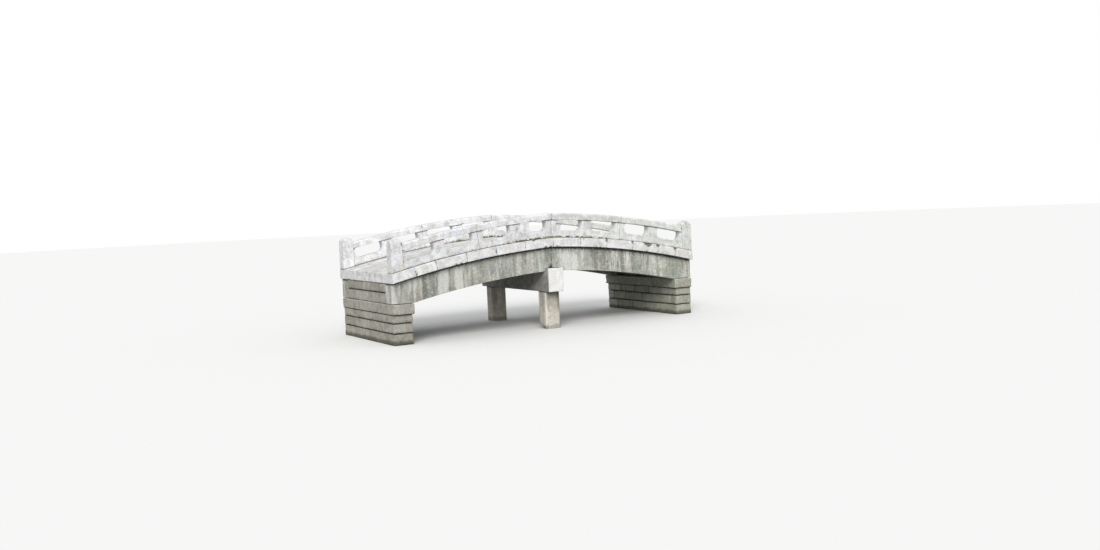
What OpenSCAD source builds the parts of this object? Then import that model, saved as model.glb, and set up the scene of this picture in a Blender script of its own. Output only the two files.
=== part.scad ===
// Low arched garden bridge of dressed granite. Two pairs of curved edge girders butt over a
// pier of two posts and a cap beam, and carry cross slabs, pierced parapets and handrails.
// X runs along the bridge, Y across it, and Z is up from the foot of the pier.

/* [Arch] */
// Length from the middle of the bridge to each end of the deck
half_length = 3140; // [2600:10:3600]
// Height of the walking surface above the foot of the pier at the middle
crown_z = 1663; // [1450:1:1900]
// Radius of the walking surface of each half
arch_r = 16000; // [13000:100:22000]
// Distance of each half's arc centre past the middle, which leaves a soft ridge over the pier
ridge_shift = 620; // [0:10:900]

/* [Deck] */
// Width of the deck from edge to edge
deck_w = 2620; // [2200:10:3200]
// Thickness of the cross slabs
slab_t = 166; // [120:1:220]
// Width along the bridge of the slabs near the middle
slab_w = 585; // [450:5:620]

/* [Girders] */
// Depth of the curved edge girders
girder_h = 436; // [320:1:520]
// Thickness of the girders across the bridge
girder_w = 280; // [200:1:400]
// Distance of the girder's outer face behind the edge of the deck
girder_set_back = 95; // [40:1:160]

/* [Parapet] */
// Distance of the parapet's outer face behind the edge of the deck
parapet_set_back = 48; // [20:1:80]
// Thickness of the pierced panels
panel_t = 150; // [100:1:180]
// Height of the pierced panels between deck and handrail
panel_h = 324; // [260:1:420]
// Height of the solid sill below the openings
sill_h = 135; // [80:1:150]
// Width of the struts at their waist
strut_w = 182; // [120:1:240]
// Radius of the openings' lower corners, where a strut flares into the sill
foot_r = 95; // [30:1:100]
// Radius of the openings' upper corners, below the handrail
head_r = 60; // [20:1:70]
// Height of the handrail
rail_h = 120; // [90:1:160]
// Width of the handrail
rail_w = 190; // [182:1:260]
// Rounding of the handrail's upper edges
rail_round = 28; // [5:1:40]

/* [End posts] */
// Side of the square end posts
end_post_w = 210; // [190:1:280]
// Height of the end posts above the deck, on their centre line
end_post_h = 575; // [540:1:760]
// Radius of the domed heads
dome_r = 160; // [156:1:260]

/* [Pier] */
// Width of the cap beam along the bridge
cap_w = 314; // [240:1:420]
// Height of the cap beam
cap_h = 433; // [300:1:520]
// How far the cap beam stands out past the girders' outer faces
cap_over = 140; // [40:1:240]
// Depth that the girders are notched down over the cap beam
housing = 55; // [20:1:90]
// Distance of the square pier posts' sides behind the sides of the cap beam
pier_post_reveal = 2; // [0:1:30]
// Width of the chamfers on the posts' four corners
pier_post_chamfer = 45; // [15:1:70]
// Distance of the posts' outer faces behind the ends of the cap beam
pier_post_inset = 145; // [60:1:400]

/* [Abutments] */
// Length of girder that rests on each abutment
bearing_len = 400; // [300:10:600]
// Thickness of the bearing stone under the girder ends
bearing_t = 180; // [120:1:260]
// Projection of the bearing stone past the wall below it
bearing_nose = 30; // [10:1:60]
// Thickness of the end wall between the girders
end_wall_t = 250; // [150:10:290]

/* [Joints] */
// Width of the upright joints between neighbouring stones
joint_w = 2; // [1:0.5:5]
// Clearance of the bed between one stone and the next
bed_gap = 0.3; // [0.1:0.1:0.8]

/* [Hidden] */
front = -1;
rear = 1;
left = -1;
right = 1;
round_fn = 48;
// Longest straight step of a curved face
arc_step = 120;
// Bays and slabs on each half, and the slabs of the regular width
bays = 4;
slabs = 6;
regular_slabs = 4;
// Reach of the cutting shapes past the solids that they trim
reach = 100;
// How far an opening's outline passes the panel's top, which leaves the head of each strut blunt
head_over = 14;

arc_cz = crown_z - sqrt(pow(arch_r, 2) - pow(ridge_shift, 2));
slab_r = arch_r - slab_t;
girder_r = slab_r - bed_gap;
soffit_r = girder_r - girder_h;
panel_r = arch_r + bed_gap;
panel_top_r = arch_r + panel_h;
rail_r = panel_top_r + bed_gap;
rail_top_r = rail_r + rail_h;

girder_y = deck_w / 2 - girder_set_back;
parapet_y = deck_w / 2 - parapet_set_back - panel_t / 2;
end_post_x = half_length - end_post_w;
bay_w = end_post_x / bays;
opening_w = bay_w - strut_w;
row_end = end_post_x - bed_gap;

cap_top_z = height_at(soffit_r, 0) + housing;
cap_bottom_z = cap_top_z - cap_h;
cap_half = girder_y + cap_over;
pier_post_w = cap_w - 2 * pier_post_reveal;
pier_post_y = cap_half - pier_post_inset - pier_post_w / 2;
abutment_x = half_length - bearing_len;
seat_z = height_at(soffit_r, abutment_x);
bearing_z = seat_z - bearing_t;

// Height of a concentric surface of radius r above the point x
function height_at(r, x) = arc_cz + sqrt(pow(r, 2) - pow(x + ridge_shift, 2));
// Angle from upright at which the surface of radius r passes x, so an end cut there is plumb
function plumb_lean(r, x) = asin((x + ridge_shift) / r);
// Angle from upright of the radial joint that crosses the walking surface at x, moved to one
// side (-1 or 1) by half a joint, or left on the joint's centre line (0)
function joint_lean(r, x, side) = asin((x + ridge_shift) / arch_r) + side * asin(joint_w / 2 / r);
// Point on a concentric surface
function arc_point(r, lean) = [r * sin(lean) - ridge_shift, arc_cz + r * cos(lean)];
// Points along a concentric surface, from one angle to another in n steps
function arc_points(r, lean_a, lean_b, n) = [for (i = [0:n]) arc_point(r, lean_a + (lean_b - lean_a) * i / n)];
// Steps along a stone
function steps(xa, xb) = max(2, ceil((xb - xa) / arc_step));
// First and last angle of a stone of the right half: plumb at the middle of the bridge and at
// the end of the row, radial between two stones
function start_lean(r, xa) = xa <= 0 ? plumb_lean(r, joint_w / 2) : joint_lean(r, xa, 1);
function finish_lean(r, xb, row_end) = xb >= row_end ? plumb_lean(r, row_end) : joint_lean(r, xb, -1);
// Place of the joint after the first k slabs
function slab_joint(k) = k <= regular_slabs ? k * slab_w
    : half_length - (slabs - k) * (half_length - regular_slabs * slab_w) / (slabs - regular_slabs);

// Outline of one stone of the right half, from xa to xb, between two concentric surfaces
module stone(r_in, r_out, xa, xb, row_end) {
    n = steps(xa, xb);
    polygon(concat(
        arc_points(r_in, start_lean(r_in, xa), finish_lean(r_in, xb, row_end), n),
        arc_points(r_out, finish_lean(r_out, xb, row_end), start_lean(r_out, xa), n)));
}

// Stands an outline drawn in X and Z upright, centred on y
module upright(y, thickness) {
    translate([0, y + thickness / 2, 0])
        rotate([90, 0, 0])
            linear_extrude(height = thickness)
                children();
}

// Puts a stone of the right front corner in its own quarter
module quarter(side, half) {
    mirror([half == left ? 1 : 0, 0, 0])
        mirror([0, side == rear ? 1 : 0, 0])
            children();
}

// Outline of one opening: an oblong with rounded ends, from the sill to just past the panel's top
module opening_outline() {
    top = panel_h + head_over;
    w = opening_w / 2;
    translate([-w, sill_h + foot_r]) square([2 * w, top - head_r - sill_h - foot_r]);
    translate([-w + foot_r, sill_h]) square([2 * (w - foot_r), top - sill_h]);
    translate([-w + head_r, sill_h + foot_r]) square([2 * (w - head_r), top - sill_h - foot_r]);
    for (s = [-1, 1]) {
        translate([s * (w - foot_r), sill_h + foot_r]) circle(r = foot_r, $fn = round_fn);
        translate([s * (w - head_r), top - head_r]) circle(r = head_r, $fn = round_fn);
    }
}

// Opening of bay k, counted from the middle, turned square to its radius
module bay_opening(k) {
    lean = plumb_lean(arch_r, (k + 0.5) * bay_w);
    translate(arc_point(arch_r, lean)) rotate(-lean) opening_outline();
}

// Square with its four corners cut
module chamfered_square(w, c) {
    h = w / 2;
    polygon([[-h + c, -h], [h - c, -h], [h, -h + c], [h, h - c],
        [h - c, h], [-h + c, h], [-h, h - c], [-h, -h + c]]);
}

module pier_post(side) {
    color("#c9beac")
        translate([0, side * pier_post_y, 0])
            linear_extrude(height = cap_bottom_z)
                chamfered_square(pier_post_w, pier_post_chamfer);
}

module pier_cap_beam() {
    color("#dedbd3")
        translate([-cap_w / 2, -cap_half, cap_bottom_z])
            cube([cap_w, 2 * cap_half, cap_h]);
}

// Curved girder, notched over the cap beam and cut level where it rests on the abutment
module girder(side, half) {
    color("#a9a698")
        quarter(side, half)
            upright(-girder_y + girder_w / 2, girder_w)
                difference() {
                    stone(soffit_r, girder_r, 0, half_length, half_length);
                    square([cap_w / 2 + bed_gap, cap_top_z + bed_gap]);
                    square([half_length + reach, seat_z + bed_gap]);
                }
}

// Cross slab, numbered from the left end of the bridge
module deck_slab(number) {
    half = number <= slabs ? left : right;
    k = half == left ? slabs - number : number - slabs - 1;
    color("#d9d8d2")
        quarter(front, half)
            upright(0, deck_w)
                stone(slab_r, arch_r, slab_joint(k), slab_joint(k + 1), half_length);
}

// Pierced panel of two bays, from bay first_bay outward
module parapet_panel(side, half, first_bay) {
    color("#d3d4cd")
        quarter(side, half)
            upright(-parapet_y, panel_t)
                difference() {
                    stone(panel_r, panel_top_r, first_bay * bay_w, (first_bay + 2) * bay_w, row_end);
                    bay_opening(first_bay);
                    bay_opening(first_bay + 1);
                }
}

// Section of the handrail as pairs of radius and distance from its centre line, with the upper
// edges rounded in four steps
function rail_corner(side) = [for (i = [0:4])
    let (t = side > 0 ? 90 - i * 22.5 : i * 22.5)
    [rail_top_r - rail_round * (1 - sin(t)), side * (rail_w / 2 - rail_round * (1 - cos(t)))]];
function rail_section() = concat([[rail_r, -rail_w / 2]], rail_corner(-1), rail_corner(1), [[rail_r, rail_w / 2]]);

// Handrail stone over two bays, swept along the arc from bay first_bay outward
module handrail(side, half, first_bay) {
    xa = first_bay * bay_w;
    xb = (first_bay + 2) * bay_w;
    n = steps(xa, xb);
    section = rail_section();
    m = len(section);
    points = [for (i = [0:n], p = section)
        let (
            a = start_lean(p[0], xa),
            b = finish_lean(p[0], xb, row_end),
            q = arc_point(p[0], a + (b - a) * i / n)
        )
        [q[0], p[1] - parapet_y, q[1]]];
    sides = [for (i = [0:n - 1], j = [0:m - 1])
        [i * m + j, (i + 1) * m + j, (i + 1) * m + (j + 1) % m, i * m + (j + 1) % m]];
    near_end = [for (j = [0:m - 1]) j];
    far_end = [for (j = [m - 1:-1:0]) n * m + j];
    color("#dcdbd5")
        quarter(side, half)
            polyhedron(points = points, faces = concat([near_end], sides, [far_end]));
}

// Square post at the end of a parapet, bedded on the curve of the deck and domed on top
module end_post(side, half) {
    x = end_post_x + end_post_w / 2;
    top_z = height_at(arch_r, x) + end_post_h;
    color("#cfcfca")
        quarter(side, half)
            intersection() {
                upright(-parapet_y, end_post_w)
                    polygon(concat(
                        arc_points(panel_r, plumb_lean(panel_r, end_post_x), plumb_lean(panel_r, half_length), 3),
                        [[half_length, top_z + reach], [end_post_x, top_z + reach]]));
                translate([x, -parapet_y, top_z - dome_r])
                    union() {
                        sphere(r = dome_r, $fn = round_fn);
                        translate([-end_post_w, -end_post_w, -top_z]) cube([2 * end_post_w, 2 * end_post_w, top_z]);
                    }
            }
}

module abutment_wall(half) {
    wall_x = abutment_x + bearing_nose;
    color("#9b978b")
        quarter(front, half)
            translate([wall_x, -girder_y, 0])
                cube([half_length - wall_x, 2 * girder_y, bearing_z]);
}

module bearing_stone(half) {
    y = girder_y + bearing_nose;
    color("#b5b1a5")
        quarter(front, half)
            translate([abutment_x, -y, bearing_z])
                cube([bearing_len, 2 * y, bearing_t]);
}

// Wall between the girder ends that closes the deck and carries the last slab
module end_wall(half) {
    w = 2 * (girder_y - girder_w - bed_gap);
    x = half_length - end_wall_t;
    color("#a39f93")
        quarter(front, half)
            upright(0, w)
                polygon(concat(
                    arc_points(girder_r, plumb_lean(girder_r, x), plumb_lean(girder_r, half_length), 3),
                    [[half_length, seat_z], [x, seat_z]]));
}

pier_post(front);  // pier_post_front
pier_post(rear);  // pier_post_rear
pier_cap_beam();
girder(front, left);  // girder_front_left
girder(front, right);  // girder_front_right
girder(rear, left);  // girder_rear_left
girder(rear, right);  // girder_rear_right
deck_slab(1);  // deck_slab_01
deck_slab(2);  // deck_slab_02
deck_slab(3);  // deck_slab_03
deck_slab(4);  // deck_slab_04
deck_slab(5);  // deck_slab_05
deck_slab(6);  // deck_slab_06
deck_slab(7);  // deck_slab_07
deck_slab(8);  // deck_slab_08
deck_slab(9);  // deck_slab_09
deck_slab(10);  // deck_slab_10
deck_slab(11);  // deck_slab_11
deck_slab(12);  // deck_slab_12
parapet_panel(front, left, 2);  // parapet_front_left_outer
parapet_panel(front, left, 0);  // parapet_front_left_inner
parapet_panel(front, right, 0);  // parapet_front_right_inner
parapet_panel(front, right, 2);  // parapet_front_right_outer
parapet_panel(rear, left, 2);  // parapet_rear_left_outer
parapet_panel(rear, left, 0);  // parapet_rear_left_inner
parapet_panel(rear, right, 0);  // parapet_rear_right_inner
parapet_panel(rear, right, 2);  // parapet_rear_right_outer
handrail(front, left, 2);  // handrail_front_left_outer
handrail(front, left, 0);  // handrail_front_left_inner
handrail(front, right, 0);  // handrail_front_right_inner
handrail(front, right, 2);  // handrail_front_right_outer
handrail(rear, left, 2);  // handrail_rear_left_outer
handrail(rear, left, 0);  // handrail_rear_left_inner
handrail(rear, right, 0);  // handrail_rear_right_inner
handrail(rear, right, 2);  // handrail_rear_right_outer
end_post(front, left);  // end_post_front_left
end_post(front, right);  // end_post_front_right
end_post(rear, left);  // end_post_rear_left
end_post(rear, right);  // end_post_rear_right
abutment_wall(left);  // abutment_wall_left
abutment_wall(right);  // abutment_wall_right
bearing_stone(left);  // bearing_stone_left
bearing_stone(right);  // bearing_stone_right
end_wall(left);  // end_wall_left
end_wall(right);  // end_wall_right
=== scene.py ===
# %% [markdown]
# # A low arched garden bridge, dressed stone by stone
# The bridge is granite: curved girders on a pier, cross slabs, pierced parapets and handrails.
# The CAD model holds every stone in its true place and is loaded here as a frame that never
# moves. What it lacks is age. Each CAD stone is therefore covered by a new mesh of the same
# size with worn edges, chips and a hammered face.

# %% Load the fixed frame
from functools import partial
import bpy
import numpy as np
from mathutils import Matrix


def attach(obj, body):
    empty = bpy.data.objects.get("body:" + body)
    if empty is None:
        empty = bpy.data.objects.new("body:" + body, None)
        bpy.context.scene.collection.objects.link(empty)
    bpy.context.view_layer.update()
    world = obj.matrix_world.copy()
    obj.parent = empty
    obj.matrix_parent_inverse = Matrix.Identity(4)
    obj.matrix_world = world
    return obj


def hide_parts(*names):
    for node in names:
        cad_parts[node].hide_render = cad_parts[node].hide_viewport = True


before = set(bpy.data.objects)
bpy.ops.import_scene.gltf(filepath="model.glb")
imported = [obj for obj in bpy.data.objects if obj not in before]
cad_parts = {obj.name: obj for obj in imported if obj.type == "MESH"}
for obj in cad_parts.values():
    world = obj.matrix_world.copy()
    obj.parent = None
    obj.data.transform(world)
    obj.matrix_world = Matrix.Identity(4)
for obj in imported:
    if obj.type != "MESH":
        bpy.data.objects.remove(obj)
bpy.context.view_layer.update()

# %% [markdown]
# ## The bridge's measures
# A mason works from a rod with the main sizes marked on it. This cell is that rod, in metres.
# Every stone below is cut from it, so it lands in its CAD solid's place with no fitting by eye.

# %% The measuring rod
half_length, crown_z, arch_r, ridge_shift = 3.14, 1.663, 16.0, 0.62
deck_w, slab_t, slab_w = 2.62, 0.166, 0.585
girder_h, girder_w, girder_set_back = 0.436, 0.28, 0.095
parapet_set_back, panel_t, panel_h, sill_h = 0.048, 0.15, 0.324, 0.135
strut_w, foot_r, head_r, head_over = 0.182, 0.095, 0.06, 0.014
rail_h, rail_w, rail_round = 0.12, 0.19, 0.028
end_post_w, end_post_h, dome_r = 0.21, 0.575, 0.16
cap_w, cap_h, cap_over, housing = 0.314, 0.433, 0.14, 0.055
pier_post_w, pier_post_chamfer, pier_post_inset = 0.31, 0.045, 0.145
bearing_len, bearing_t, bearing_nose, end_wall_t = 0.4, 0.18, 0.03, 0.25
joint_w, bed_gap = 0.002, 0.0003

arc_z = crown_z - np.sqrt(arch_r**2 - ridge_shift**2)
slab_r = arch_r - slab_t
girder_r = slab_r - bed_gap
soffit_r = girder_r - girder_h
panel_r, panel_top_r = arch_r + bed_gap, arch_r + panel_h
rail_r = panel_top_r + bed_gap
girder_y = deck_w / 2 - girder_set_back
parapet_y = deck_w / 2 - parapet_set_back - panel_t / 2
end_post_x = half_length - end_post_w
bay_w = end_post_x / 4
row_end = end_post_x - bed_gap
print("centre of the arch is", round(-arc_z, 2), "m below its foot")

# %% [markdown]
# ## Laying stones on the arch
# Each half of the bridge is part of a very large circle, and the two circles meet in a soft
# ridge over the pier. A stone is easiest to shape while it is straight, on the mason's bench.
# Afterwards it is bent onto the arch: its length becomes an angle, its height a radius.

# %% Straight stone to arch
def height_at(radius, x):
    """Height of a concentric surface: centre height plus the root of radius² less (x + shift)²."""
    return arc_z + np.sqrt(radius**2 - (x + ridge_shift) ** 2)


def end_lean(radius, x, side):
    """Angle of a stone's end from upright. A plumb end (side 0) takes the angle whose sine is
    (x + shift) / radius; a radial joint keeps one angle, moved over by half a joint's width."""
    if side == 0:
        return np.arcsin((x + ridge_shift) / radius)
    return np.arcsin((x + ridge_shift) / arch_r) + side * np.arcsin(joint_w / 2 / radius)


def bend(along, radius, xa, xb, x_last):
    """x and z on the arch. The angle goes evenly from the first end's lean to the last end's as
    `along` goes from 0 to 1; then x = radius · sin(angle) − shift, z = centre + radius · cos(angle)."""
    first = end_lean(radius, joint_w / 2, 0) if xa <= 0 else end_lean(radius, xa, 1)
    last = end_lean(radius, x_last, 0) if xb >= x_last else end_lean(radius, xb, -1)
    lean = first + (last - first) * along
    return radius * np.sin(lean) - ridge_shift, arc_z + radius * np.cos(lean)


print("deck is", round(float(height_at(arch_r, half_length)), 3), "m high at its ends")

# %% [markdown]
# ## A closed lattice
# Most of the stones are six-sided blocks. A box from the Add menu has no points to wear down,
# and a subdivided one spends its points evenly. This lattice sets its lines close together near
# the edges, where wear shows, and its sides share their border points, so it is watertight.

# %% Lattice helpers
def line_weights(count):
    """Places of the lattice lines as weights for (arris radius, length): three close lines at
    each end, and `count` even steps between the two arrises."""
    close, k = np.array([0, 0.3, 0.65]), np.arange(count + 1) / count
    return np.r_[close, 1 - 2 * k, -close[::-1]], np.r_[0 * close, k, 1 + 0 * close]


def lines(length, step, arris, rim=0.0):
    """Distances of the lattice lines along one side of a block. Within `rim` of either end the
    steps are halved twice, apart from any that is under a fifth of a whole one."""
    a, b = line_weights(max(1, round((length - 2 * arris) / step)))
    at = a * arris + b * length
    for _ in range(2):
        middle = (at[1:] + at[:-1]) / 2
        wanted = (np.minimum(middle, length - middle) < rim) & (np.diff(at) > step / 5)
        at = np.sort(np.r_[at, middle[wanted]])
    return at


def closed_lattice(counts):
    """Index triples of the points on the outside of a box lattice, and its quads: a sheet for
    each side, turned so that it faces outwards."""
    outside = np.zeros(counts, bool)
    outside[[0, -1]] = outside[:, [0, -1]] = outside[:, :, [0, -1]] = True
    ids = np.full(counts, -1)
    ids[outside] = np.arange(outside.sum())

    def sheet(g):
        return np.stack([g[:-1, :-1], g[1:, :-1], g[1:, 1:], g[:-1, 1:]], -1).reshape(-1, 4)

    sides = [ids[0].T, ids[-1], ids[:, 0], ids[:, -1].T, ids[:, :, 0].T, ids[:, :, -1]]
    return np.argwhere(outside), np.concatenate([sheet(s) for s in sides])


print("a 5 × 4 × 3 lattice has", len(closed_lattice((5, 4, 3))[0]), "points")

# %% [markdown]
# ## Unevenness
# Hammer marks, wear and rain leave no two places of a stone alike, but neighbouring places are
# close. Value noise has just that property, and in numpy it is a handful of array sums. It is
# read at every point, with a shift of its own for each stone.

# %% Noise
table = np.random.default_rng(20).uniform(-1, 1, 4096)
steps_apart = np.array([73856093, 19349663, 83492791])


def soft_noise(points, grain, seed):
    """Random numbers from −1 to 1 on the corners of cubes of side `grain`; a point takes the
    smooth mean of its cube's corners, each weighted by how near it is."""
    q = points / grain + seed * np.array([17.13, 5.71, 9.37])
    cell = np.floor(q).astype(np.int64)
    part = q - cell
    part = part * part * (3 - 2 * part)
    total = np.zeros(len(points))
    for corner in np.ndindex(2, 2, 2):
        pick = np.bitwise_xor.reduce((cell + corner) * steps_apart, axis=1) & (len(table) - 1)
        total += np.prod(np.where(corner, part, 1 - part), axis=1) * table[pick]
    return total


def rough(points, grain, seed, layers=4, fade=0.55):
    """Layers of noise, each with half the grain and `fade` times the height of the last."""
    layer = [fade**k * soft_noise(points, grain / 2**k, seed + 31 * k) for k in range(layers)]
    return np.clip(1.3 * sum(layer) / sum(fade**k for k in range(layers)), -1, 1)


print("noise at the origin", rough(np.zeros((1, 3)), 0.1, 1).round(3))

# %% [markdown]
# ## Hewing a block
# An arris, the edge between two dressed faces, is the first thing to wear and to chip. A Bevel
# modifier would give it one radius all along. Here each point of an edge is swung onto a
# quarter round whose radius wanders, open faces are lowered by a few millimetres of noise, and
# bites are taken at the edges. All moves inwards, so a stone never outgrows its CAD solid.

# %% Wear
face, far = 0.004, 9.0  # a point this near a side lies on that face; no mark reaches so far


def wander(points, seed):
    """What the arris radius is multiplied by: 1, give or take 0.7 of noise."""
    return 1 + 0.7 * rough(points, 0.12, seed)


def sunk(points, worn, seed):
    """Depth by which an open face has sunk: noise between nothing and `worn`."""
    return worn * (0.5 + 0.5 * rough(points, 0.3, seed + 1, 5))


def bites(points, centres, radii):
    """Depth of the chips at each point: 0.6 of how far it lies inside a ball round a centre.
    Noise stretches the distance by up to a third, so that no chip is round."""
    gap = np.linalg.norm(points[:, None, :] - centres[None, :, :], axis=2)
    gap *= 1 + 0.33 * rough(points, 0.05, 77)[:, None]
    return 0.6 * np.clip(radii - gap, 0, None).max(axis=1, initial=0)


def edge_spots(size, count, rng):
    """Random places on a block's edges: free along one axis, at either end of the other two."""
    spots = rng.integers(0, 2, (count, 3)) * size
    free = rng.integers(0, 3, count)
    spots[np.arange(count), free] = rng.uniform(0.03, 0.97, count) * size[free]
    return spots


def joint_mark(to_bed, to_end):
    """1 in a joint; it fades by e over 14 mm at a bed and over 4 mm at an upright joint."""
    return np.maximum(np.exp(-to_bed / 0.014), 0.8 * np.exp(-to_end / 0.004))


def wear_marks(out, depth, worn):
    """edge goes from 0 on a face to 1 on the arris, as `out` turns away from the axes; low is
    half the depth in units of `worn`, up to 1; the mark for soiling and painted shade comes later."""
    return {"edge": np.clip((1 - np.abs(out).max(axis=1)) / 0.25, 0, 1),
            "low": np.clip(depth / worn, 0, 2) / 2, "grime": 0 * depth}


print("chip of 20 mm:", bites(np.zeros((1, 3)), np.zeros((1, 3)), 0.02).round(4), "m deep")

# %% Hew
def hew(size, seed, open_sides="xyzXYZ", *, step, arris, worn=0.003, chips=8, broken=(),
        rims=(0, 0, 0)):
    """A straight worn block from the origin to `size`. With r the arris radius, each point goes
    to the nearest point of the box shrunk by r, plus r in the direction it stood from there.
    Small letters in open_sides are low sides, capitals high ones; the rest are bedded. `broken`
    lists the balls (x, y, z, radius) that have come away; within `rims` the lattice is finer."""
    size = np.array(size, float)
    arris, step = (np.resize(np.array(v, float), 3) for v in (arris, step))
    rng = np.random.default_rng(seed)
    rule = [lines(*axis) for axis in zip(size, step, arris, rims)]
    index, quads = closed_lattice([len(r) for r in rule])
    p = np.stack([rule[a][index[:, a]] for a in range(3)], 1)
    r = arris * wander(p, seed)[:, None]
    core = np.clip(p, r, size - r)
    out = (p - core) / r
    out /= np.linalg.norm(out, axis=1)[:, None]
    is_open = np.array([s in open_sides for s in "xyzXYZ"])
    shows = np.where(out < 0, is_open[:3], is_open[3:])
    depth = sunk(p, worn, seed)
    depth += bites(p, edge_spots(size, chips, rng), rng.uniform(0.012, 0.034, chips))
    balls = np.array(broken, float).reshape(-1, 4)
    depth += bites(p, balls[:, :3], balls[:, 3])
    reach = np.c_[p, size - p] + far * is_open
    to_bed = reach[:, [1, 2, 4, 5]].min(axis=1)
    marks = {
        "joint": joint_mark(to_bed, reach[:, [0, 3]].min(axis=1)),
        "bed": np.exp(-to_bed / 0.03),
        "fall": size[2] - p[:, 2],
        "tone": np.full(len(p), rng.uniform(-1, 1)),
        **wear_marks(out, depth, worn),
    }
    return core + out * r - out * shows * depth[:, None], quads, marks


trial = hew((0.6, 0.2, 0.2), 1, step=0.02, arris=0.01)
print("a trial block has", len(trial[1]), "quads and stays within", trial[0].max(axis=0).round(4))

# %% [markdown]
# ## From arrays to pieces
# A mesh wants its points, its faces and, here, seven marks per point for the material: how near
# a joint and a bed it is, how far below the stone's top, how worn and deep it is, how much
# soiling and painted shade it takes, and how light its stone is. Stones of the left half are cut
# as for the right and mirrored.

# %% Make a piece
made, finishes = {}, {}


def add(name, data):
    """Puts a mesh, a lamp or a camera into the scene as an object."""
    thing = bpy.data.objects.new(name, data)
    bpy.context.scene.collection.objects.link(thing)
    return thing


def set_stone(node, points, quads, marks, slot, half=1):
    """Turns arrays into the piece that stands for a CAD stone. half −1 mirrors x and reverses
    each face's corners, so that it still faces outwards."""
    points, quads = points * [half, 1, 1], quads[:, ::half]
    mesh = bpy.data.meshes.new(node + "_stone")
    mesh.from_pydata(points.tolist(), [], quads.tolist())
    for name, values in marks.items():
        layer = mesh.attributes.new(name, "FLOAT", "POINT")
        layer.data.foreach_set("value", np.ascontiguousarray(values, np.float32))
    mesh.shade_smooth()
    mesh.materials.append(finishes[slot])
    piece = add(node + "_stone", mesh)
    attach(piece, "root")
    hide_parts(node)
    made[node] = 2 * len(quads)


# %% [markdown]
# ## Old granite
# Granite is a mass of grains: pale feldspar, grey quartz and black mica. Out of doors it takes
# stains, lichen, dirt in its joints and streaks where water runs. Each is one procedural layer
# over the last. Painted shade is laid the same way, as darker colour under the slabs, on the
# girders' hidden faces, on the cap's sides, at the posts' tops and in some corners and joints.
# All read Object coordinates, so they are true to scale, and the dirt and painted shade in joints
# and the pale worn edges read the marks.

# %% Node helpers
def cleared(shaded):
    """Switches on the nodes of a material or a world, and empties their tree."""
    shaded.use_nodes = True
    shaded.node_tree.nodes.clear()
    return shaded.node_tree


def put(kind, inputs, tree=None, **settings):
    """Adds a shader node, sets its options, and links or sets its inputs. A socket knows its
    tree, so only a node without linked inputs has to be told one."""
    linked = [value for value in inputs.values() if isinstance(value, bpy.types.NodeSocket)]
    tree = tree or linked[0].id_data
    node = tree.nodes.new("ShaderNode" + kind)
    for key, value in settings.items():
        setattr(node, key, value)
    for key, value in inputs.items():
        if isinstance(value, bpy.types.NodeSocket):
            tree.links.new(value, node.inputs[key])
        else:
            node.inputs[key].default_value = value
    return node


def colour(r, g, b):
    """A colour written as it looks on a screen, from 0 to 255, as the light that it stands for."""
    c = np.array([r, g, b]) / 255
    return (*np.where(c > 0.04045, ((c + 0.055) / 1.055) ** 2.4, c / 12.92).tolist(), 1.0)


def mixed(share, under, upper, how="MIX"):
    """One colour turning into another as the share goes from 0 to 1."""
    rule = {0: share, 6: under, 7: upper}
    return put("Mix", rule, data_type="RGBA", blend_type=how).outputs[2]


def over(base, share, tint):
    """Lays a written tint over the base colour."""
    return mixed(share, base, colour(*tint))


def sums(how, a, b=0.0):
    """One step of arithmetic on two numbers, such as the three under it."""
    return put("Math", {0: a, 1: b}, operation=how).outputs[0]


plus, less, times = (partial(sums, how) for how in ("ADD", "SUBTRACT", "MULTIPLY"))


def dimmed(base, light):
    """The base colour times a number, which may be a little over 1."""
    gray = put("CombineColor", {0: light, 1: light, 2: light}).outputs[0]
    return mixed(1.0, base, gray, "MULTIPLY")


def step_up(value, low, high, top=1.0):
    """0 below `low`, `top` above `high`, and a smooth climb between them."""
    ends = {"Value": value, "From Min": low, "From Max": high, "To Max": top}
    return put("MapRange", ends, interpolation_type="SMOOTHSTEP").outputs["Result"]


def cloud(place, scale, detail=4.0, harsh=0.55):
    """Blender's noise at a number of patches per metre."""
    rule = {"Vector": place, "Scale": scale, "Detail": detail, "Roughness": harsh}
    return put("TexNoise", rule).outputs["Fac"]


def patches(place, noise, cut, top=1.0):
    """Ragged patches of strength `top`: noise (scale, detail, harsh) cut between two levels."""
    return step_up(cloud(place, *noise), *cut, top)


def tinted(place, base, rows, amount=1.0):
    """Patches laid one over the other. A row holds noise, cutting levels, share and tint."""
    for noise, cut, share, tint in rows:
        base = over(base, patches(place, noise, cut, share * amount), tint)
    return base


def mark(tree, name):
    """A number that each point of the mesh carries."""
    return put("Attribute", {}, tree, attribute_name=name).outputs["Fac"]


def part_of(vector, axis):
    """The x, y or z of a vector."""
    return put("SeparateXYZ", {"Vector": vector}).outputs[axis]


print("white is written as", colour(255, 255, 255))

# %% [markdown]
# ### Grains and flecks
# The grains have to be true to scale on forty-five stones, so a cell pattern makes them: every
# cell is one grain. From farther off the eye sees no grains, only flecks of a few centimetres
# where one kind is more common, and those are a plain noise.

# %% Grains and flecks
feldspar, quartz, mica = (247, 246, 243), (166, 166, 165), (68, 66, 64)
cells_a_metre, nudge = 290.0, 0.011


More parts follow.
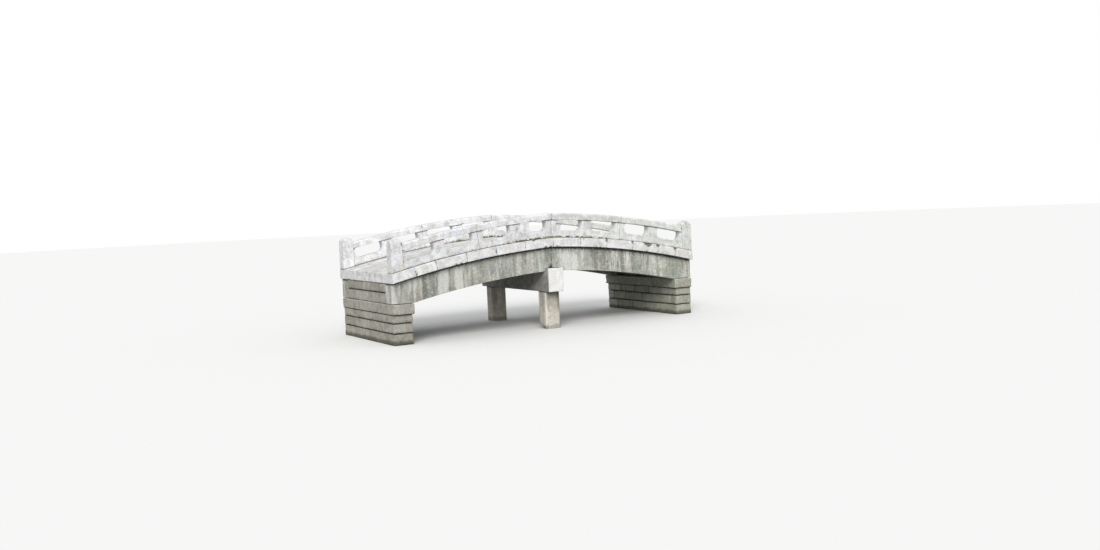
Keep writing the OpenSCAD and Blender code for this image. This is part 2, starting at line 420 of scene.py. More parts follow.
def grains(place, base, amount):
    """Cells 3 or 4 mm wide, nudged by noise so that no row shows. Each cell's random number
    says which of the three minerals it is."""
    drift = put("TexNoise", {"Vector": place, "Scale": 130.0}).outputs["Color"]
    nudged = put("VectorMath", {0: drift, 1: (nudge,) * 3, 2: place}, operation="MULTIPLY_ADD").outputs[0]
    cells = put("TexVoronoi", {"Vector": nudged, "Scale": cells_a_metre})
    kind = put("SeparateColor", {"Color": cells.outputs["Color"]}).outputs[0]
    for cut, share, mineral in (((0.6, 0.72), 0.5, feldspar), ((0.34, 0.24), 0.5, quartz),
                                ((0.08, 0.05), 1.0, mica)):
        base = over(base, step_up(kind, *cut, share * amount), mineral)
    return base


def flecks(place, base, amount):
    """Brightness from 1 − amount to 1 + amount / 2 in flecks of 1 to 4 cm."""
    rule = {"Value": cloud(place, 40.0, 4.0, 0.8), "From Min": 0.32, "From Max": 0.68,
            "To Min": 1 - amount, "To Max": 1 + amount / 2}
    return dimmed(base, put("MapRange", rule).outputs["Result"])


print("three minerals:", feldspar, quartz, mica)

# %% [markdown]
# ### Stains, lichen and moss
# Lichen grows as crusts with ragged rims, which is what a noise cut at one level looks like.
# The bridge's right end stands damper and turns green. Moss has settled in the joint under the
# parapet, most of all near the crown.

# %% Stains and growth
damp_green, moss_low, moss_tip = (176, 190, 158), (72, 68, 44), (128, 126, 90)
# Pale, dark and ochre crusts of lichen, as rows for tinted()
crusts = [((24.0, 6.0, 0.62), (0.57, 0.63), 1.0, (236, 237, 230)),
          ((16.0, 8.0, 0.72), (0.6, 0.69), 0.8, (108, 107, 98)),
          ((9.0, 6.0, 0.66), (0.62, 0.7), 0.6, (206, 190, 150))]


def green_end(place, base, amount):
    """A yellowish green in patches, from nothing at the pier to `amount` at the right end."""
    patchy = patches(place, (3.2, 4.0), (0.3, 0.6), amount)
    share = times(step_up(part_of(place, "X"), -0.4, 2.9), patchy)
    return over(base, share, damp_green)


def away_from(place, x):
    """Distance along the bridge from a place x."""
    return sums("ABSOLUTE", less(part_of(place, "X"), x))


def moss_on_beds(place, base, bed, amount):
    """Blotches of moss within 5 cm of a bed: bed mark times noise, at full strength only within
    0.8 m of a point right of the crown."""
    there = times(plus(step_up(away_from(place, 0.15), 1.3, 0.8, 0.8), 0.2), amount)
    blotch = patches(place, (22.0, 4.0, 0.65), (0.42, 0.54))
    share = times(times(blotch, step_up(bed, 0.16, 0.5)), there)
    tips = patches(place, (70.0, 4.0, 0.7), (0.4, 0.62))
    return mixed(share, base, mixed(tips, colour(*moss_low), colour(*moss_tip)))


print("growth:", len(crusts), "kinds of lichen, and moss")

# %% [markdown]
# ### Run-off and seams
# Water that drips off the slabs draws streaks down the girders: lime where it dries, algae
# where it stays, and thin brown drips. All are noise drawn out along z. Dirt in a seam is
# ragged, so the joint mark is multiplied by one more noise before it is cut. Where a joint mark
# also stands for painted shade, that shade is cut the same way. Under the slabs' overhang the
# girders take a near-black line: painted shade with dirt.

# %% Run-off and seams
under_slab_shade_and_dirt, seam_dirt_and_shade = (44, 44, 38), (48, 47, 40)


def streaks(place, ragged, across, cut, amount, length=8):
    """Noise with `across` bands a metre along the face, each `length` times as long as it is
    wide, plus the ragged noise, which breaks the bands' rims."""
    drawn = put("Mapping", {"Vector": place, "Scale": (across, across, across / length)})
    band = plus(cloud(drawn.outputs["Vector"], 1.0, 4.0, 0.6), ragged)
    return step_up(band, *cut, amount)


def run_off(place, base, fall, amount, lime, algae, soot, drip, drip_x, black_line=0.0):
    """Broad soot, lime and algae, then thin drips: a few everywhere, most within 0.5 m of
    drip_x, fading over the last quarter of a girder's height. Under an overhang a line is painted
    near black, as painted shade with dirt, as high as black_line and a third more where a streak
    starts."""
    ragged = times(less(cloud(place, 26.0, 5.0, 0.72), 0.5), 0.55)
    for across, cut, share, tint in ((8.0, (0.48, 0.66), 0.85, soot), (4.6, (0.47, 0.6), 1.0, lime),
                                     (3.0, (0.52, 0.64), 0.6, algae), (17.0, (0.52, 0.7), 0.6, soot)):
        base = over(base, streaks(place, ragged, across, cut, share * amount), tint)
    here = plus(step_up(away_from(place, drip_x), 0.65, 0.2, 0.75), 0.25)
    thin = streaks(place, 0.0, 21.0, (0.52, 0.63), amount, 16)
    share = times(times(thin, here), step_up(fall, 0.42, 0.3))
    base = over(base, share, drip)
    # Painted shade with dirt: a near-black line on the girder just under the slabs' overhang.
    if black_line:
        reach = streaks(place, 0.0, 24.0, (0.4, 0.66), black_line / 3)
        below = less(fall, plus(reach, black_line))
        base = over(base, step_up(below, 0.008, -0.012, 0.95), under_slab_shade_and_dirt)
    return base


def seams(place, base, joint, amount):
    """Dirt where joint mark × (0.55 + 0.6 · noise) passes a quarter; the painted shade lines that some
    joint marks carry are laid the same way.
    """
    ragged = patches(place, (34.0, 5.0, 0.65), (0.3, 0.62), 0.6)
    seam = times(plus(ragged, 0.55), joint)
    return over(base, step_up(seam, 0.25, 0.8, amount), seam_dirt_and_shade)


print("run-off: soot, lime, algae and drips")

# %% [markdown]
# ### The six finishes
# All stones are the same granite with a different life, so one function lays the layers and six
# calls give the parapet, deck, girders, cap, posts and abutments their own colours and amounts.

# %% The granite
dust, worn_face, pit_dirt = (152, 149, 138), (242, 241, 237), (128, 124, 112)
shade_and_soil, waterline = (96, 95, 88), (78, 78, 62)


def weathered_granite(slot, pale, grey, warm, cool, grain=0.35, fleck=0.16, green=0.4,
                      lichen=0.4, dirt=0.9, moss=0.0, water=None, damp=0.0, tool_marks=1.0):
    """Pale and grey stone in patches, warm and cool tints, growth, water, grains, dirt with painted shade,
    pits.
    """
    granite = finishes[slot] = bpy.data.materials.new(slot)
    tree = cleared(granite)
    place = put("TexCoord", {}, tree).outputs["Object"]
    joint, bed, fall, edge, low, tone, grime = (
        mark(tree, m) for m in "joint bed fall edge low tone grime".split())

    patch = patches(place, (7.0, 7.0, 0.64), (0.36, 0.6))
    base = mixed(patch, colour(*grey), colour(*pale))
    base = tinted(place, base, [((4.3, 5.0, 0.6), (0.5, 0.66), 0.6, warm),
                                ((5.6, 5.0, 0.6), (0.52, 0.66), 0.6, cool)])
    base = green_end(place, base, green)
    if water:
        base = run_off(place, base, fall, **water)
    base = grains(place, base, grain)
    base = flecks(place, base, fleck)
    base = tinted(place, base, crusts, lichen)
    facing_up = part_of(put("NewGeometry", {}, tree).outputs["Normal"], "Z")
    settled = patches(place, (4.0, 9.0, 0.76), (0.32, 0.66), 0.46)
    base = over(base, times(step_up(facing_up, 0.5, 0.95), settled), dust)
    base = over(base, times(less(edge, joint), 0.3), worn_face)
    base = over(base, step_up(low, 0.3, 0.8, 0.3), pit_dirt)
    # Painted shade with dirt: the soiling mark darkens undersides, hidden faces, the cap's sides and the
    # posts' tops as painted shade, and trodden and chipped places as real dirt.
    patchy_shade_and_soil = plus(patches(place, (11.0, 4.0, 0.6), (0.2, 0.7), 0.3), 0.5)
    base = over(base, times(patchy_shade_and_soil, grime), shade_and_soil)
    base = seams(place, base, joint, dirt)
    if moss:
        base = moss_on_beds(place, base, bed, moss)
    if damp:
        up = plus(part_of(place, "Z"), times(cloud(place, 9.0), -0.09))
        base = over(base, step_up(up, 0.06, 0.0, damp), waterline)
    base = dimmed(base, plus(times(tone, 0.05), 0.97))

    pecks = cloud(place, 75.0, 5.0, 0.62)
    height = plus(pecks, times(cloud(place, 320.0, 2.0), 0.35))
    bump = put("Bump", {"Height": height, "Strength": 0.5 * tool_marks, "Distance": 0.006})
    gloss = put("MapRange", {"Value": pecks, "To Min": 0.78, "To Max": 0.97}).outputs["Result"]
    skin = put("BsdfPrincipled", {"Base Color": base, "Roughness": gloss,
                                  "Normal": bump.outputs["Normal"]})
    skin.inputs["Specular IOR Level"].default_value = 0.3
    put("OutputMaterial", {"Surface": skin.outputs["BSDF"]})


# black_line is how high the painted shade with dirt under the slabs' overhang reaches.
girder_water = {"amount": 0.95, "lime": (225, 227, 219), "algae": (136, 152, 141),
                "soot": (112, 109, 100), "drip": (98, 86, 77), "drip_x": 1.7, "black_line": 0.036}
post_water = {"amount": 0.5, "lime": (234, 228, 216), "algae": (176, 176, 164),
              "soot": (160, 156, 146), "drip": (128, 120, 108), "drip_x": 0.0}
wall_water = {**post_water, "lime": (182, 179, 168)}
weathered_granite("parapet_granite", (244, 245, 248), (204, 205, 204), (230, 220, 217),
                  (222, 228, 240), fleck=0.22, dirt=0.75, moss=1.0)
weathered_granite("deck_granite", (248, 248, 249), (213, 213, 212), (232, 223, 220),
                  (226, 230, 240), fleck=0.22, green=0.15, dirt=0.75, moss=1.0)
weathered_granite("girder_granite", (194, 193, 182), (150, 150, 139), (176, 167, 152),
                  (168, 175, 178), green=0.2, dirt=1.0, water=girder_water)
weathered_granite("cap_granite", (248, 248, 246), (236, 235, 232), (244, 241, 236),
                  (240, 241, 244), grain=0.5, green=0.0, lichen=0.1)
weathered_granite("pier_granite", (241, 233, 215), (207, 201, 186), (226, 206, 190),
                  (206, 206, 204), grain=0.4, fleck=0.24, green=0.0, damp=0.4, water=post_water)
weathered_granite("abutment_granite", (174, 171, 159), (134, 130, 118), (146, 140, 116),
                  (150, 152, 148), fleck=0.22, lichen=0.25, moss=0.8, damp=0.8,
                  tool_marks=1.6, water=wall_water)
print("finishes:", list(finishes))

# %% [markdown]
# ## Deck slabs
# Twelve slabs run across the bridge. Their ends make the pale band along the side, and their
# tops are the footway. Feet have hollowed them along the middle, so the top is lowered by a
# broad bell of 6 mm there. Painted shade with dirt along the foot of each parapet is written
# into the joint mark, and the slabs' undersides are darkened as painted shade.

# %% Deck
# Painted shade with dirt, and a finer lattice, lie within foot_zone of the slabs' edges.
# broken_edge lists where the right half's front edge is broken, and how big each missing piece
# was.
foot_zone, nook_fade = parapet_set_back + panel_t + 0.03, 0.022
hollow, footway_half = 0.006, 0.55
broken_edge = [(1.74, 0.035), (2.07, 0.07), (2.12, 0.075), (2.33, 0.045), (2.73, 0.045)]


def slab_joint(k):
    """Distance of the k-th slab joint from the middle: four equal slabs, then two longer ones."""
    return k * slab_w if k <= 4 else half_length - (6 - k) * (half_length - 4 * slab_w) / 2


for number in range(1, 13):
    half, k = (-1, 6 - number) if number <= 6 else (1, number - 7)
    xa, xb = slab_joint(k), slab_joint(k + 1)
    gone = [(x - xa, 0, slab_t, r) for x, r in broken_edge if half > 0 and xa - 0.02 < x < xb + 0.02]
    block, quads, marks = hew((xb - xa, deck_w, slab_t), 100 + number, "yzYZ" + "X" * (k == 5),
                              step=(0.018, 0.046, 0.024), arris=(0.004, 0.009, 0.009), worn=0.004,
                              chips=10, broken=gone, rims=(0, foot_zone, 0))
    along, y, height = block.T
    from_edge = np.minimum(y, deck_w - y)[:, None]
    to_foot = np.abs(from_edge - [parapet_set_back, parapet_set_back + panel_t]).min(axis=1)
    nook = np.exp(-np.hypot(to_foot, slab_t - height) / nook_fade)
    trodden = np.exp(-((y - deck_w / 2) / footway_half) ** 2) * (height > slab_t / 2)
    chipped = marks["low"] > 0.9
    # nook is the corner at each parapet's foot: it leads moss through the bed mark, and painted shade with
    # dirt through the joint mark.
    marks["bed"] = nook**0.7
    marks["joint"] = np.maximum.reduce([marks["joint"], 0.85 * nook, 0.5 * chipped])
    # The slabs' undersides are darkened as painted shade; trodden and chipped places take real dirt.
    marks["grime"] = np.maximum(0.7 * (height < face) + 0.25 * trodden, 0.9 * chipped)
    x, z = bend(along / (xb - xa), slab_r + (height - hollow * trodden), xa, xb, half_length)
    set_stone(f"deck_slab_{number:02d}", np.c_[x, y - deck_w / 2, z], quads, marks, "deck_granite", half)
print("12 slabs,", sum(made.values()), "triangles")

# %% [markdown]
# ## Handrails
# A handrail stone spans two bays of the parapet. Its upper edges are rounded much more than its
# lower ones, so the hewn block is drawn in near its top. Two stones meet over a strut in a fine
# joint.

# %% Handrails
corners = [(side, half) for side in (-1, 1) for half in (-1, 1)]
rows = [(*at, first, part) for at in corners for first, part in ((0, "inner"), (2, "outer"))]


def place_name(side, half, *part):
    """The CAD's name for a place, such as front_left or front_left_inner."""
    return "_".join(["front" if side < 0 else "rear", "left" if half < 0 else "right", *part])


def rail_stone(length, seed):
    """A hewn block whose upper long edges are drawn in to the handrail's rounding: above the
    spring line, the half width shrinks by r − √(r² − rise²), with the rise cut a little short."""
    block, quads, marks = hew((length, rail_w, rail_h), seed, "yzYZ", step=0.014,
                              arris=(0.004, 0.008, 0.008), worn=0.0025, chips=10)
    rise = np.clip(block[:, 2] - (rail_h - rail_round), 0, rail_round)
    draw_in = rail_round - np.sqrt(rail_round**2 - 0.97 * rise**2)
    off = block[:, 1] - rail_w / 2
    block[:, 1] = off * (1 - draw_in / (rail_w / 2))
    return block, quads, marks


for n, (side, half, first, part) in enumerate(rows):
    xa, xb = first * bay_w, (first + 2) * bay_w
    block, quads, marks = rail_stone(xb - xa, 200 + n)
    x, z = bend(block[:, 0] / (xb - xa), rail_r + block[:, 2], xa, xb, row_end)
    placed = np.c_[x, side * parapet_y + block[:, 1], z]
    set_stone("handrail_" + place_name(side, half, part), placed, quads, marks,
              "parapet_granite", half)
print("8 handrail stones of", round(2 * bay_w, 3), "m")

# %% [markdown]
# ## The pierced panels
# These take the most skill. A panel holds two bays; in each, an oblong with rounded ends is cut
# down from the top, which leaves struts that flare into a solid sill. Think of a bay as a band
# laid round its opening in a U. One parameter runs along the U, one from the opening out to the
# bay's border, and one through the thickness, so the same closed lattice makes it.

# %% One bay as a band
side_steps, sill_steps = 15, 19
head_points, foot_points, foot_share = 12, 25, 0.42


def opening_half():
    """Right half of the opening's outline, from the panel's top to the middle of the sill: part
    of the head's circle, a straight side, the foot's quarter circle and half the sill; and how
    far down the bay's border each point belongs, with foot_share where the foot begins."""
    w, top = bay_w / 2 - strut_w / 2, panel_h + head_over
    cut = np.sqrt(panel_top_r**2 - w**2) - arch_r
    turn = np.linspace(np.arcsin((cut - top + head_r) / head_r), 0, head_points)
    foot = np.linspace(0, -np.pi / 2, foot_points)
    u = np.r_[w - head_r + head_r * np.cos(turn), w - foot_r + foot_r * np.cos(foot), 0]
    v = np.r_[top - head_r + head_r * np.sin(turn), sill_h + foot_r + foot_r * np.sin(foot), sill_h]
    run = np.r_[0, np.cumsum(np.hypot(np.diff(u), np.diff(v)))]
    bend_at = run[head_points + foot_points // 2]
    at = np.r_[np.linspace(0, bend_at, side_steps + 1),
               np.linspace(bend_at, run[-1], sill_steps + 1)[1:]]
    down = np.interp(at, [0, run[head_points], bend_at], [0, foot_share, 1])
    return np.interp(at, run, u), np.interp(at, run, v), down


half_u, half_v, half_down = opening_half()
print("outline points per half opening:", len(half_u), "flare", round(foot_r * 1000), "mm")

# %% A bay's lattice
sharp = 1e-6


def bay_band(k, joints):
    """Inner and outer border of bay k's band in x and z, from the left top round to the right.
    The opening is drawn square to the radius of the bay's middle; the border follows the bed
    and the ends. `joints` holds each end's x and its cut: 1 or −1 for a joint on that side of
    a radius, 0 for plumb, None where the panel's other bay follows."""
    x_mid = (k + 0.5) * bay_w
    lean = end_lean(arch_r, x_mid, 0)
    u, v = np.r_[-half_u, half_u[-2::-1]], np.r_[half_v, half_v[-2::-1]]
    inner = np.c_[arch_r * np.sin(lean) - ridge_shift + u * np.cos(lean) + v * np.sin(lean),
                  arc_z + arch_r * np.cos(lean) - u * np.sin(lean) + v * np.cos(lean)]
    radius = panel_top_r + (panel_r - panel_top_r) * np.r_[half_down[:side_steps], np.ones(sill_steps + 1)]
    share = np.r_[np.zeros(side_steps), np.linspace(0, 1, sill_steps + 1)]
    sides = []
    for x, cut in joints:
        edge = end_lean(np.full_like(radius, arch_r) if cut is None else radius, x, cut or 0)
        edge = edge + (end_lean(panel_r, x_mid, 0) - edge) * share
        sides.append(np.c_[radius * np.sin(edge) - ridge_shift, arc_z + radius * np.cos(edge)])
    return inner, np.r_[sides[0], sides[1][-2::-1]]


def carve_bay(k, joints, y_mid, shared, seed, spots, radii, arris=0.010, worn=0.003):
    """The worn band of one bay. Each point moves as in hew(), in the plane of its distance from
    the opening and the thickness. On the `shared` side, which the panel's other bay continues,
    the band stays sharp and its end faces are left out."""
    inner, outer = bay_band(k, joints)
    reach = np.linalg.norm(outer - inner, axis=1)
    a, b = line_weights(8)
    y_lines = lines(panel_t, 0.015, arris)
    index, quads = closed_lattice((len(inner), len(a), len(y_lines)))
    t, q = index[:, 0], index[:, 1]
    span, away = reach[t], (outer - inner)[t] / reach[t][:, None]

    def in_bridge(dist, y):
        there = inner[t] + away * dist[:, None]
        return np.c_[there[:, 0], y + y_mid, there[:, 1]]

    dist, y = a[q] * arris + b[q] * span, y_lines[index[:, 2]]
    spot = in_bridge(dist, y)
    left, right = t <= side_steps, t >= len(inner) - 1 - side_steps
    on_shared = left if shared == "left" else right
    flat = (q == len(a) - 1) & on_shared
    r = arris * wander(spot, seed)
    r_out = np.where(on_shared, sharp, r)
    core_d, core_y = np.clip(dist, r, span - r_out), np.clip(y, r, panel_t - r)
    out = np.c_[(dist - core_d) / np.where(dist > span / 2, r_out, r), (y - core_y) / r]
    out /= np.maximum(np.linalg.norm(out, axis=1), 1)[:, None]
    out[flat] = np.c_[0 * r, np.clip((y - core_y) / r, -1, 1)][flat]
    depth = sunk(spot, worn, seed) + bites(spot, spots, radii)
    dist = core_d + out[:, 0] * np.where(out[:, 0] > 0, r_out, r) - np.minimum(out[:, 0], 0) * depth
    points = in_bridge(np.where(flat, span, dist), core_y + out[:, 1] * (r - depth))
    to_end = np.where((left | right) & ~on_shared, span - dist, far)
    radius = np.hypot(points[:, 0] + ridge_shift, points[:, 2] - arc_z)
    fall = panel_top_r - radius
    # Within about 17 mm of the top the joint mark also stands for the handrail's painted shadow, with dirt
    # in the bed.
    marks = {
        "joint": joint_mark(np.minimum(radius - panel_r, 0.8 * fall), to_end),
        "bed": np.exp(-(radius - panel_r) / 0.03),
        "fall": fall,
        **wear_marks(out, depth, worn),
    }
    marks["edge"] *= ~flat
    return points, quads[~flat[quads].all(axis=1)], marks


print("a bay is carved on", 2 * (side_steps + sill_steps) + 1, "lines round its opening")

# %% [markdown]
# Two bays share the border in the middle of a strut. Their points there come from the same
# place and the same noise, so they coincide, and giving each distinct place one number welds
# them. Points that no face uses any more are dropped on the way.

# %% Weld and set the panels
def together(parts):
    """One (points, quads, marks) from several; each part's corner numbers are moved on."""
    counts = np.cumsum([0] + [len(p[0]) for p in parts])
    return (np.concatenate([p[0] for p in parts]),
            np.concatenate([p[1] + c for p, c in zip(parts, counts)]),
            {m: np.concatenate([p[2][m] for p in parts]) for m in parts[0][2]})


def weld(points, quads, marks):
    """Numbers each distinct place once, to a thousandth of a millimetre, and renumbers the faces."""
    used = np.unique(quads)
    _, first, number = np.unique(np.round(points[used] * 1e6).astype(np.int64), axis=0,
                                 return_index=True, return_inverse=True)
    renumber = np.zeros(len(points), int)
    renumber[used] = number.ravel()
    keep = used[first]
    return points[keep], renumber[quads], {m: values[keep] for m, values in marks.items()}


chips = 14
for n, (side, half, first, part) in enumerate(rows):
    rng = np.random.default_rng(300 + n)
    xa, xm, xb = (np.array([0, 1, 2]) + first) * bay_w
    start = (joint_w / 2, 0) if part == "inner" else (xa, 1)
    stop = (row_end, 0) if part == "outer" else (xb, -1)
    y_mid = side * parapet_y - panel_t / 2
    spot_x = rng.uniform(xa, xb, chips)
    spot_y = y_mid + panel_t * rng.integers(0, 2, chips)
    spot_z = height_at(arch_r, spot_x) + rng.choice([0, sill_h, sill_h, panel_h * 0.7], chips)
    bitten = (300 + n, np.c_[spot_x, spot_y, spot_z], rng.uniform(0.012, 0.03, chips))
    one = carve_bay(first, [start, (xm, None)], y_mid, "right", *bitten)
    two = carve_bay(first + 1, [(xm, None), stop], y_mid, "left", *bitten)
    points, quads, marks = together([one, two])
    marks["tone"] = np.full(len(points), rng.uniform(-1, 1))
    welded = weld(points, quads, marks)
    set_stone("parapet_" + place_name(side, half, part), *welded, "parapet_granite", half)
print("8 panels; the last one has", len(welded[0]), "of", len(points), "points after the weld")

# %% [markdown]
# ## End posts
# A square post closes each parapet. Its foot follows the deck, and its head is part of a ball:
# a square cut out of a dome. The block's straight height is stretched between the two.

# %% End posts
blank_h = 0.5


def end_post(seed):
    """A hewn block; a point's height goes from the deck's arc up to the ball, by its share of
    the block's height. The ball is at centre + √(radius² − distance from the axis²)."""
    x_mid = end_post_x + end_post_w / 2
    top = height_at(arch_r, x_mid) + end_post_h
    block, quads, marks = hew((end_post_w, end_post_w, blank_h), seed, "xyXYZ", step=0.014,
                              arris=0.009, chips=12)
    dx, dy = block[:, 0] - end_post_w / 2, block[:, 1] - end_post_w / 2
    ball = top - dome_r + np.sqrt(dome_r**2 - np.clip(dx**2 + dy**2, 0, 0.99 * dome_r**2))
    foot = height_at(panel_r, x_mid + dx)
    return np.c_[x_mid + dx, dy, foot + (ball - foot) * block[:, 2] / blank_h], quads, marks


for n, (side, half) in enumerate(corners):
    block, quads, marks = end_post(400 + n)
    set_stone("end_post_" + place_name(side, half), block + [0, side * parapet_y, 0], quads, marks,
              "parapet_granite", half)
print("end posts rise to", round(float(block[:, 2].max()), 3), "m")

# %% [markdown]
# ## Girders
# A girder is one long curved stone for each side of each half. Its inner end is notched down
# over the cap beam and its outer end is cut level on the bearing stone. Both cuts only raise
# the underside, so its radius is raised to meet them and the rest follows.

# %% Girders
cap_top = float(height_at(soffit_r, 0)) + housing
seat_z = float(height_at(soffit_r, half_length - bearing_len))


def girder_stone(seed, broken):
    """A hewn block, bent. A ray at angle `lean` meets a level cut of height z at radius
    (z − centre) / cos(lean); the underside takes the larger of that and its own radius."""
    block, quads, marks = hew((half_length, girder_w, girder_h), seed, "yzYX", step=0.022,
                              arris=(0.004, 0.01, 0.01), worn=0.005, chips=12, broken=broken)
    along = block[:, 0] / half_length
    x, z = bend(along, np.full_like(along, soffit_r), 0, half_length, half_length)
    level = np.where(x < cap_w / 2 + joint_w, cap_top, seat_z) + bed_gap
    lean = np.arctan2(x + ridge_shift, z - arc_z)
    under = np.maximum(soffit_r, (level - arc_z) / np.cos(lean))
    x, z = bend(along, under + (girder_r - under) * block[:, 2] / girder_h, 0, half_length, half_length)
    return np.c_[x, block[:, 1] - girder_w / 2, z], quads, marks


for n, (side, half) in enumerate(corners):
    heel_gone = [(0, 0, 0, 0.07)] if (side, half) == (-1, -1) else []
    block, quads, marks = girder_stone(500 + n, heel_gone)
    inside = side * (block[:, 1] - girder_w / 2) < face - girder_w / 2
    # Painted shade: the girders' inner faces and undersides, under the deck, are darkened.
    marks["grime"] = np.maximum(0.5 * inside, 0.4 * (marks["fall"] > girder_h - face))
    # Painted shade: the left pair of girders is made darker, as if in shade.
    marks["tone"][:] = 0.5 if half > 0 else -2.0  # the left pair is the darker one
    set_stone("girder_" + place_name(side, half), block + [0, side * (girder_y - girder_w / 2), 0],
              quads, marks, "girder_granite", half)
print("girders spring from", round(seat_z, 3), "m")

# %% [markdown]
# ## The pier
# Two posts carry a cap beam whose bright ends stand out past the girders, while its sides are
# painted darker: painted shade of the girders above, with some dirt. The posts are square with
# their corners cut: where |x| + |y| passes the chamfer line, a point steps back across the corner
# until it lies on that line. The front post has lost the back left corner of its foot: what
# stood past a slanting plane is brought back to it. The top of each post is painted darker,
# most on its outer face: painted shadow of the cap, with drip stains.

# %% Pier
def knock_off(points, on_plane, outward):
    """A break along a plane: a point steps back by its distance past the plane, give or take
    12 mm of noise."""
    outward = np.array(outward) / np.linalg.norm(outward)
    past = (points - on_plane) @ outward + 0.012 * rough(points, 0.07, 78)
    return points - np.clip(past, 0, None)[:, None] * outward


cap_bottom, cap_half = cap_top - cap_h, girder_y + cap_over
block, quads, marks = hew((cap_w, 2 * cap_half, cap_h), 600, step=0.018, arris=0.009,
                          worn=0.004, chips=16)
behind = cap_half - np.abs(block[:, 1] - cap_half)
# Painted shade with some dirt: the cap's sides, all but the ends, are darkened as if in the girders'
# shade.
marks["grime"] = np.clip((behind - 0.006) / 0.03, 0, 1)
set_stone("pier_cap_beam", block + [-cap_w / 2, -cap_half, cap_bottom], quads, marks, "cap_granite")

post_y = cap_half - pier_post_inset - pier_post_w / 2
for n, (side, which) in enumerate(((-1, "front"), (1, "rear"))):
    block, quads, marks = hew((pier_post_w, pier_post_w, cap_bottom), 610 + n, "xyXY",
                              step=0.014, arris=0.008, worn=0.005, chips=14)
    block -= [pier_post_w / 2, pier_post_w / 2, 0]
    flat = np.abs(block[:, :2])
    past = np.clip(flat.sum(axis=1) - (pier_post_w - pier_post_chamfer), 0, None)[:, None] / 2
    block[:, :2] = np.sign(block[:, :2]) * (flat - past)
    if side < 0:
        block = knock_off(block, [-pier_post_w / 2, -pier_post_w / 2, 0.0], (-0.6, 0.35, -0.72))
    # Painted shade: a dark line right under the cap through the joint mark, with dirt in the joint, and
    # the post's top darkened below it, most on its outer face, as the cap's shadow, with drip stains.
    marks["joint"] = np.exp(-marks["fall"] / 0.02)
    facing = side * block[:, 1] > pier_post_w / 2 - 0.02
    marks["grime"] = np.maximum(1.0 * facing, 0.2) * np.exp(-((marks["fall"] / 0.26) ** 2))
    set_stone("pier_post_" + which, block + [0, side * post_y, 0], quads, marks, "pier_granite")
print("the pier is", round(cap_top, 3), "m high")

# %% [markdown]
# ## Abutments
# Under each end stands a wall of coarse squared stones in three courses, with broken joints. A
# dark core behind the faces closes the joints. One long bearing stone lies on it under the
# girders, and a wall of the same kind stands between the girder ends.

# %% Coursed walls
def coursed(low, high, heights, stones, seed, top=None, gap=0.005):
    """Squared stones in courses, and a core set back inside them. The upright joints stand at
    even steps, half a step over in every other course, each moved by up to a quarter of a
    step. Heights are stretched where the wall's top follows the arch."""
    rng = np.random.default_rng(seed)
    low, high = np.array(low, float), np.array(high, float)
    parts, z = [], low[2]
    heights = np.array(heights) / sum(heights) * (high[2] - low[2])
    for course, height in enumerate(heights):
        step = np.arange(stones + 1 + course % 2) - 0.5 * (course % 2)
        step[1:-1] += rng.uniform(-0.24, 0.24, len(step) - 2)
        cuts = low[1] + np.clip(step / stones, 0, 1) * (high[1] - low[1])
        for a, b in zip(cuts[:-1], cuts[1:]):
            inset = np.array([0, gap * (a > low[1]), gap * (course > 0)])
            size = np.array([high[0] - low[0], b - a, height]) - inset
            block, quads, marks = hew(size, int(rng.integers(1e6)), "xyXY", step=0.026,
                                      arris=0.02, worn=0.016)
            marks["joint"] = np.maximum(marks["joint"], marks["edge"] * 0.6)
            marks["tone"] *= 2.4
            parts.append((block + [low[0], a, z] + inset, quads, marks))
        z += height
    core_in = np.array([0.03, 0.03, 0.001])
    block, quads, marks = hew(high - low - 2 * core_in, seed + 5, "xyXY", step=0.2, arris=0.004,
                              worn=0.002, chips=0)
    marks["joint"][:] = 1
    points, quads, marks = together(parts + [(block + low + core_in, quads, marks)])
    if top is not None:
        share = (points[:, 2] - low[2]) / (high[2] - low[2])
        points[:, 2] = low[2] + share * (top(points[:, 0]) - low[2])
    return points, quads, marks


bearing_x, bearing_z = half_length - bearing_len, seat_z - bearing_t
inner_y, reach_y = girder_y - girder_w - bed_gap, girder_y + bearing_nose
for n, (half, which) in enumerate(((-1, "left"), (1, "right"))):
    wall = coursed([bearing_x + bearing_nose, -girder_y, 0], [half_length, girder_y, bearing_z],
                   [1.15, 1, 0.85], 5, 700 + n)
    set_stone("abutment_wall_" + which, *wall, "abutment_granite", half)
    block, quads, marks = hew((bearing_len, 2 * reach_y, bearing_t), 710 + n, "xyXYZ",
                              step=0.022, arris=0.012, worn=0.006, chips=16)
    set_stone("bearing_stone_" + which, block + [bearing_x, -reach_y, bearing_z], quads, marks,
              "abutment_granite", half)
    closing = coursed([half_length - end_wall_t, -inner_y, seat_z],
                      [half_length, inner_y, height_at(girder_r, half_length)],
                      [1, 0.9], 4, 720 + n, top=lambda x: height_at(girder_r, x))
    set_stone("end_wall_" + which, *closing, "abutment_granite", half)
print(len(made), "stones with", sum(made.values()), "triangles; the largest has", max(made.values()))

# %% [markdown]
# ## Floor and light
# A plain pale floor shows where the stones stand. It is nearly white to the camera and duller
# to the light that bounces about, so that the underside keeps its depth. The sky is white to
# the camera and a soft grey lamp to the stone. With a large soft sun at the left front it gives
# a front face about as much light as its written colour needs.

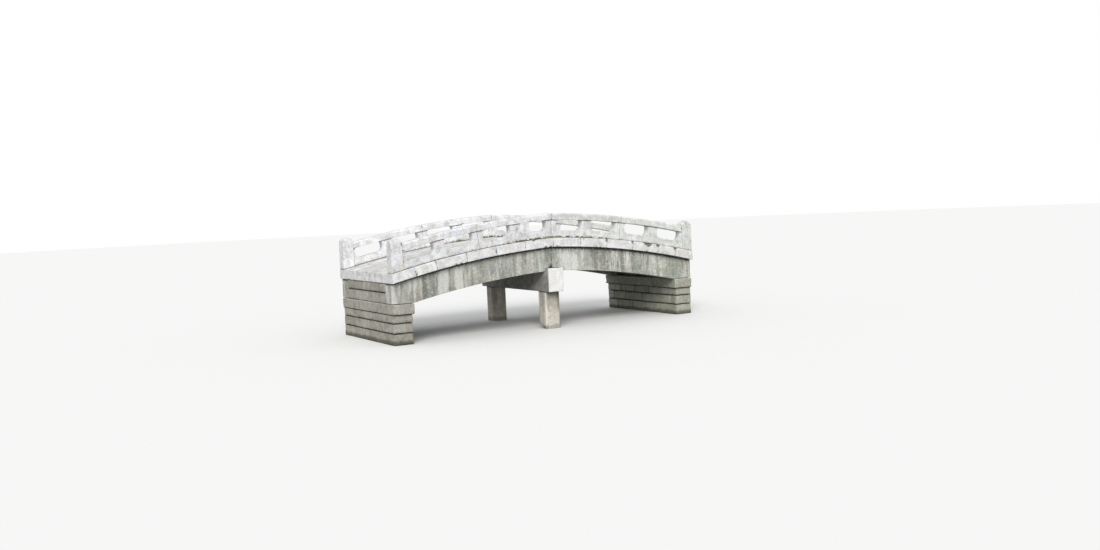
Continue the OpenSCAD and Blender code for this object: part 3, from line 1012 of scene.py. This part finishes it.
# %% Floor
turns = np.linspace(0, 2 * np.pi, 97)[:-1]
rings = np.array([0.5, 2.0, 8.0, 30.0, 90.0])
ring = np.stack([np.outer(rings, np.cos(turns)), np.outer(rings, np.sin(turns)),
                 0 * np.outer(rings, turns)], -1).reshape(-1, 3)
grid = np.arange(len(ring)).reshape(len(rings), -1)
after = np.roll(grid, -1, axis=1)
quads = np.stack([grid[:-1], grid[1:], after[1:], after[:-1]], -1).reshape(-1, 4)
mesh = bpy.data.meshes.new("floor")
mesh.from_pydata(ring.tolist(), [], quads.tolist() + [grid[0].tolist()])
floor = add("floor", mesh)

pale_floor = bpy.data.materials.new("pale_floor")
tree = cleared(pale_floor)
seen = put("LightPath", {}, tree).outputs["Is Camera Ray"]
shade = mixed(seen, (0.3, 0.3, 0.29, 1), (0.8, 0.8, 0.79, 1))
matt = put("BsdfDiffuse", {"Color": shade})
put("OutputMaterial", {"Surface": matt.outputs["BSDF"]})
mesh.materials.append(pale_floor)
print("floor out to", rings[-1], "m")

# %% Light
world = bpy.data.worlds.new("soft_sky")
bpy.context.scene.world = world
tree = cleared(world)
path = put("LightPath", {}, tree).outputs
straight = sums("MAXIMUM", path["Is Glossy Ray"], path["Is Transmission Ray"])
straight = sums("MAXIMUM", path["Is Camera Ray"], straight)
sky = mixed(straight, (0.74, 0.75, 0.765, 1), (1, 1, 1, 1))
put("OutputWorld", {"Surface": put("Background", {"Color": sky}).outputs[0]})

lamp = bpy.data.lights.new("high_soft_sun", "SUN")
lamp.energy, lamp.angle = 2.3, np.radians(30)
lamp.color = (1.0, 0.985, 0.96)
sun = add("high_soft_sun", lamp)
turn, climb = np.radians(-32), np.radians(35)
towards = np.array([np.sin(turn) * np.cos(climb), -np.cos(turn) * np.cos(climb), np.sin(climb)])
across = np.cross([0, 0, 1], towards)
across /= np.linalg.norm(across)
axes = np.c_[across, np.cross(towards, across), towards]
sun.matrix_world = Matrix(axes.tolist()).to_4x4()
print("sun stands at", towards.round(2))

# %% [markdown]
# ## Camera
# The bridge is looked at from the left front, from a little above its handrails, with the
# horizon slightly tilted. The yaw, pitch and roll are in radians. The lens is as long as the
# sensor is wide, so a picture is as wide as what it shows is far away.

# %% Camera
yaw, pitch, roll = 0.5236, -0.0664, -0.0461
stand = (-10.0468, -18.5333, 2.3141)
ahead = np.array([np.sin(yaw) * np.cos(pitch), np.cos(yaw) * np.cos(pitch), np.sin(pitch)])
level_right = np.array([np.cos(yaw), -np.sin(yaw), 0])
level_up = np.cross(level_right, ahead)
right = np.cos(roll) * level_right + np.sin(roll) * level_up
up = np.cos(roll) * level_up - np.sin(roll) * level_right
turned = Matrix(np.c_[right, up, -ahead].tolist()).to_4x4()
eye = bpy.data.cameras.new("garden_view")
eye.sensor_fit, eye.sensor_width, eye.lens = "HORIZONTAL", 36.0, 36.0
eye.clip_end = 300
camera = add("garden_view", eye)
camera.matrix_world = Matrix.Translation(stand) @ turned
bpy.context.scene.camera = camera
bpy.context.scene.view_settings.view_transform = "Standard"
print("camera looks along", ahead.round(3))
